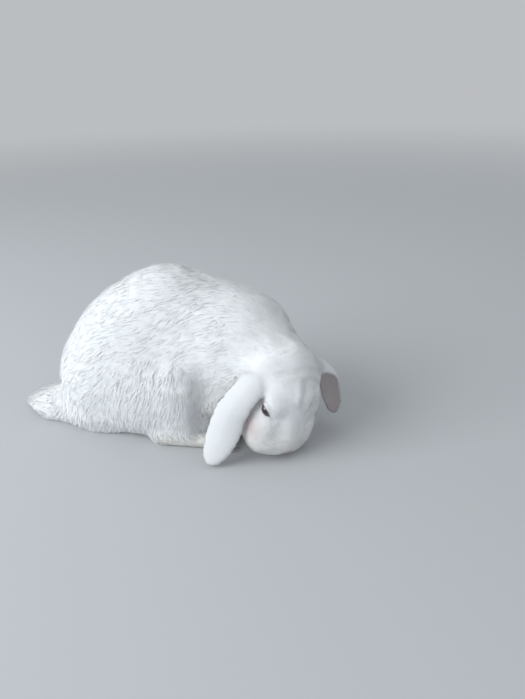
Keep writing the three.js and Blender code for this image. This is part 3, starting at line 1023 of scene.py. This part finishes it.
def claw_material():
    claw = Painter("claw", roughness=0.35)
    claw.paint(claw.ramp(claw.noise(260), CLAW_ENDS))
    return claw.material


# ---- Eyes ----

CORNEA = (0.35, 0.55)  # how high it stands over the ball, and how wide it is in radians
BALL_INSET = 0.05  # keeps the ball off the inner side of the lids


def show_eye(name, side, material):
    """A ball with a clear front that bulges out of it, just under the skin's lids."""
    ball = bmesh.new()
    bmesh.ops.create_uvsphere(ball, u_segments=48, v_segments=40, radius=1)
    mesh = bpy.data.meshes.new(name)
    ball.to_mesh(mesh)
    ball.free()
    round_axis = read(mesh.vertices, "co", 3)
    from_pupil = np.arccos(np.clip(round_axis[:, 2], -1, 1))
    cornea = CORNEA[0] * bell(from_pupil / CORNEA[1])
    out, ahead, up = eye_axes(side).T
    turned_out = round_axis @ np.stack([ahead, up, out])
    places = on_head(sided(EYE_IN_HEAD, side) + turned_out * (BALL - BALL_INSET + cornea)[:, None])
    mesh.vertices.foreach_set("co", places.ravel())
    give_number(mesh, "from_pupil", from_pupil / RINGS_END)
    if side > 0:
        mesh.flip_normals()
    mesh.shade_smooth()
    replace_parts(show(name, mesh, material), name)


# ---- Claws ----

def show_claw(name, material):
    """A claw's solid, rounded."""
    claw = added(name, NODES[name].data.copy())
    claw.modifiers.new("weld", "WELD").merge_threshold = 0.01 * MM
    claw.modifiers.new("rounded", "SUBSURF").levels = 2
    mesh = with_modifiers(claw)
    mesh.materials.clear()
    mesh.shade_smooth()
    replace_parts(show(name + "_horn", mesh, material), name)


# ---- Whiskers ----

WHISKER_ROWS = 4  # on each side of the muzzle
WHISKER_COLUMNS = 4
WHISKER_BEND = (-0.35, 0, -0.12)  # how far the tip is blown back and hangs down, in lengths
BROW_HAIRS = 4  # over each eye
BROW_BEND = (-0.3, 0, 0.1)
WHISKER_RADIUS = 0.11 * MM  # at its root
WHISKER_TAPER = 0.75  # share of the radius that is lost at the tip
WHISKER_STEPS = 7
WHISKER_SIDES = 3


def whisker_lines():
    """Bent lines in millimetres of the head frame: rows on the muzzle, and a few over each eye."""
    lines = []
    for side in SIDES.values():
        for row_number in range(WHISKER_ROWS):
            for column in range(WHISKER_COLUMNS):
                start = np.array([45 - 3.6 * column, side * (7 + 2.2 * column), -8 - 3.1 * row_number])
                way = np.array([-0.15 - 0.16 * column, side, 0.25 - 0.22 * row_number])
                way = unit(way + rng.normal(0, 0.07, 3))
                length = (20 + 3.6 * column) * rng.uniform(0.8, 1.15)
                lines.append((start, way, length, WHISKER_BEND))
        for number in range(BROW_HAIRS):
            start = np.array([9 - 2.5 * number, side * 29, 14])
            way = unit(np.array([0.1 - 0.2 * number, 0.8 * side, 0.8]) + rng.normal(0, 0.08, 3))
            lines.append((start, way, rng.uniform(11, 17), BROW_BEND))
    return lines


def show_whiskers(surface, roots, material):
    """Thin tapering hairs with three sides, mapped where the nearest tuft is."""
    skin_tree = surface.tree()
    lines = whisker_lines()
    feet = [skin_tree.find_nearest(on_head(start))[0] for start, _, _, _ in lines]
    nearest = nearest_of(feet, roots["place"])
    vertices, triangles, uv = [], [], []
    for foot, at, (_, way, length, bend) in zip(feet, nearest, lines):
        way, bend = HEAD_AXES @ way, HEAD_AXES @ np.array(bend)
        side = unit(np.cross(way, bend))
        first = len(vertices)
        for step, share in enumerate(np.linspace(0, 1, WHISKER_STEPS)):
            centre = np.array(foot) + (way * share + bend * share**2) * length * MM
            for turn in range(WHISKER_SIDES):
                angle = 2 * np.pi * turn / WHISKER_SIDES
                off = side * np.cos(angle) + np.cross(side, way) * np.sin(angle)
                vertices.append(centre + off * WHISKER_RADIUS * (1 - WHISKER_TAPER * share))
                uv.append(roots["uv"][at] + np.array([(turn - 1) / WHISKER_SIDES, share]) * BAKE_PATCH)
            if step:
                high = first + WHISKER_SIDES * step
                low = high - WHISKER_SIDES
                for a, b in ((0, 1), (1, 2), (2, 0)):
                    triangles += [(low + a, low + b, high + b), (low + a, high + b, high + a)]
        last = len(vertices) - WHISKER_SIDES
        triangles += [(first, first + 2, first + 1), (last, last + 1, last + 2)]
    vertices, triangles, uv = np.array(vertices), np.array(triangles), np.array(uv)
    vertices[:, 2] = np.maximum(vertices[:, 2], LOWEST)
    mesh = mesh_of("whiskers", vertices, triangles)
    give_map(mesh, uv[triangles])
    give_number(mesh, "tone", np.ones(len(vertices)))
    give_tint(mesh, np.tile(WHITE, (len(vertices), 1)))
    show("whiskers", mesh, material)


# ---- Stage ----

FLOOR_SIZE = 12  # half its side
FLOOR_FADE = (0.4, 4)  # distances between which it passes into the backdrop
BACKDROP = (0.50, 0.515, 0.53)  # also the floor's own colour
SKY = (0.92, 0.96, 1)
SKY_STRENGTH = 0.64
KEY_PLACE = (-1.35, -1.05, 1.05)
KEY_TARGET = (0, 0, 0.08)
KEY_SIZE = 1.5
KEY_WATTS = 36
KEY_COLOUR = (0.95, 0.98, 1)


def make_stage():
    floor = added("floor", bpy.data.meshes.new("floor"))
    corners = [(x * FLOOR_SIZE, y * FLOOR_SIZE, 0) for x, y in ((-1, -1), (1, -1), (1, 1), (-1, 1))]
    floor.data.from_pydata(corners, [], [(0, 1, 2, 3)])
    floor.data.materials.append(floor_material())
    world = bpy.data.worlds.new("studio")
    bpy.context.scene.world = world
    world.use_nodes = True
    nodes, links = world.node_tree.nodes, world.node_tree.links
    sky = nodes["Background"]
    sky.inputs["Color"].default_value = (*SKY, 1)
    sky.inputs["Strength"].default_value = SKY_STRENGTH
    seen = nodes.new("ShaderNodeBackground")
    seen.inputs["Color"].default_value = (*BACKDROP, 1)
    both = nodes.new("ShaderNodeMixShader")
    links.new(nodes.new("ShaderNodeLightPath").outputs["Is Camera Ray"], both.inputs["Fac"])
    links.new(sky.outputs["Background"], both.inputs[1])
    links.new(seen.outputs["Background"], both.inputs[2])
    links.new(both.outputs["Shader"], nodes["World Output"].inputs["Surface"])
    make_key_light()


def floor_material():
    """A plain floor round the animal that passes into the backdrop's colour farther out."""
    floor = Painter("floor", roughness=0.9, specular=0.2)
    floor.shader.inputs["Base Color"].default_value = (*BACKDROP, 1)
    distance = floor.nodes.new("ShaderNodeVectorMath")
    distance.operation = "LENGTH"
    floor.join(floor.nodes.new("ShaderNodeNewGeometry").outputs["Position"], distance.inputs[0])
    far = floor.mapped(distance.outputs["Value"], FLOOR_FADE, (0, 1))
    far.node.interpolation_type = "SMOOTHERSTEP"
    seen = floor.nodes.new("ShaderNodeMath")
    seen.operation = "MULTIPLY"
    floor.join(far, seen.inputs[0])
    floor.join(floor.nodes.new("ShaderNodeLightPath").outputs["Is Camera Ray"], seen.inputs[1])
    backdrop = floor.nodes.new("ShaderNodeEmission")
    backdrop.inputs["Color"].default_value = (*BACKDROP, 1)
    floor.mixed_with(backdrop.outputs["Emission"], seen.outputs["Value"])
    return floor.material


def make_key_light():
    light = bpy.data.lights.new("key", "AREA")
    light.size = KEY_SIZE
    light.energy = KEY_WATTS
    light.color = KEY_COLOUR
    holder = added("key", light)
    holder.location = KEY_PLACE
    way = Vector(KEY_TARGET) - Vector(KEY_PLACE)
    holder.rotation_euler = way.to_track_quat("-Z", "Y").to_euler()


# ---- The rabbit ----

make_camera()
make_stage()
skin = make_skin_surface()
mark(skin)
skin_mesh = mesh_of("skin", skin.vertices, skin.faces)
give_tint(skin_mesh, skin.tint)
skin_uv = unwrap(skin_mesh)
flesh_nodes = [name for name in FLESH if kind_of(name) != "eye"]
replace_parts(show("skin", skin_mesh, skin_material()), *flesh_nodes)
roots = grow_roots(skin, skin_uv)
fur = fur_material()
show_coat("coat", roots, bend_tufts(skin, roots), fur)
show_whiskers(skin, roots, fur)
eye_surface = eye_material()
for side_name, side in SIDES.items():
    show_eye(f"eye_{side_name}", side, eye_surface)
horn = claw_material()
for name in sorted(NODES):
    if name.startswith("claw"):
        show_claw(name, horn)

bpy.context.scene.view_settings.view_transform = "Standard"
